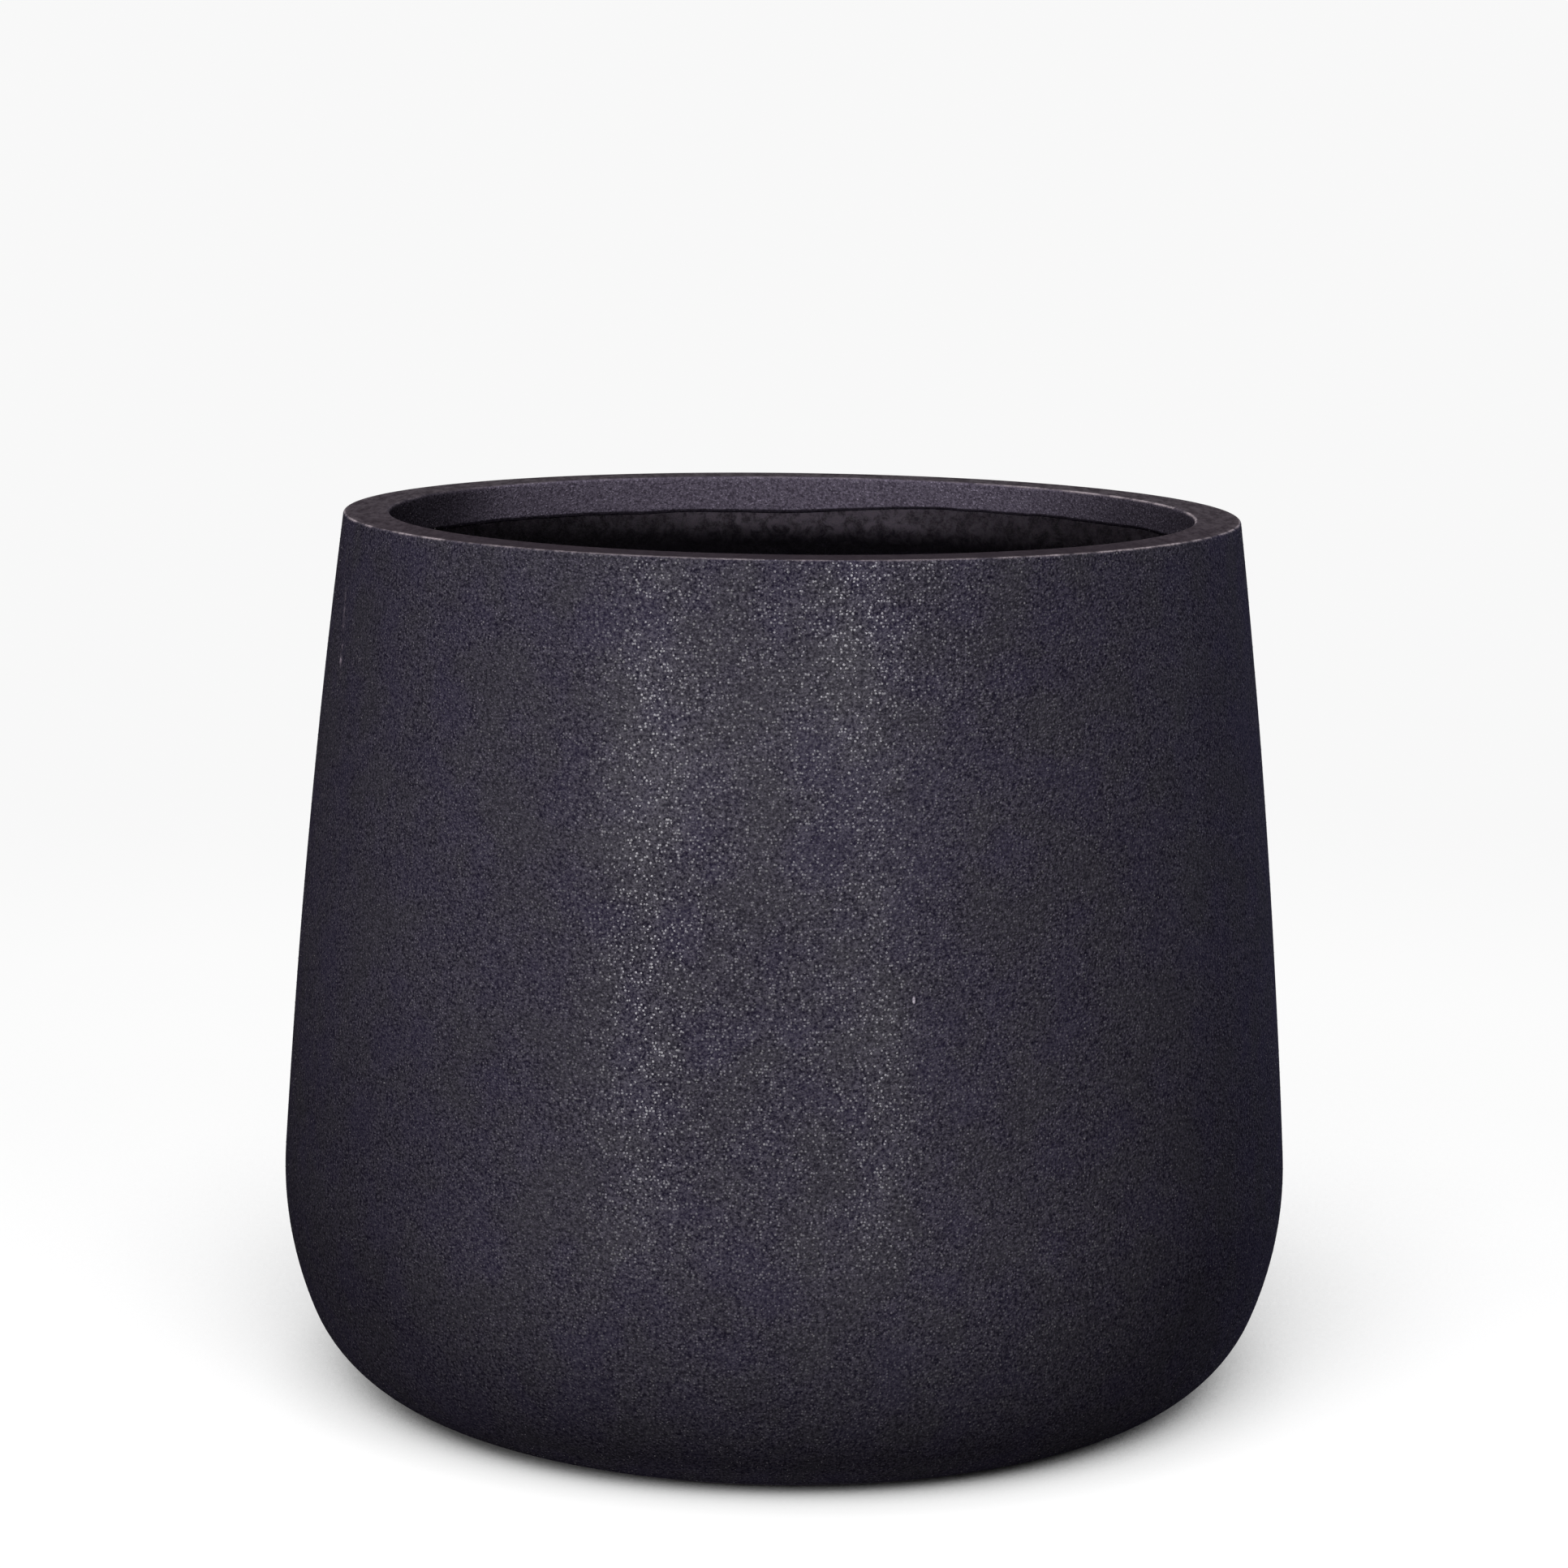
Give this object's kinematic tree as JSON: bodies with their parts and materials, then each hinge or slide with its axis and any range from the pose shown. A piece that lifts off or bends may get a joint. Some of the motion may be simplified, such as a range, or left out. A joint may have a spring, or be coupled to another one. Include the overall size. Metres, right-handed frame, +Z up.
{
  "type": "planter pot",
  "caption": "Round tapered planter pot with a soft base corner, a thick turned-in rim, a rough fibre-lined inside and a rubber stopper in its drain hole.",
  "frame": {"origin": "centre of the foot, on the surface that the pot stands on", "axes": "+Z straight up along the pot's axis of revolution, +X and +Y level, seen from -Y as the front"},
  "size_m": [0.5, 0.4998, 0.438],
  "materials": {
    "sand_coat": "matte",
    "fibre_clay": "matte",
    "foot_clay": "matte",
    "fibre_mat": "matte",
    "rubber": "satin"
  },
  "bodies": {
    "pot": {"sand_coat": "sand_coat", "outer_shell": "fibre_clay", "rim_ring": "fibre_clay", "return_lip": "fibre_clay", "wall_lining": "fibre_mat", "base_floor": "foot_clay", "floor_lining": "fibre_mat"},
    "stopper": {"drain_plug": "rubber"}
  },
  "joints": [
    {"name": "plug_lift", "type": "slide", "parent": "pot", "child": "stopper", "axis": [0, 0, 1], "range_m": [0, 0.45]}
  ]
}
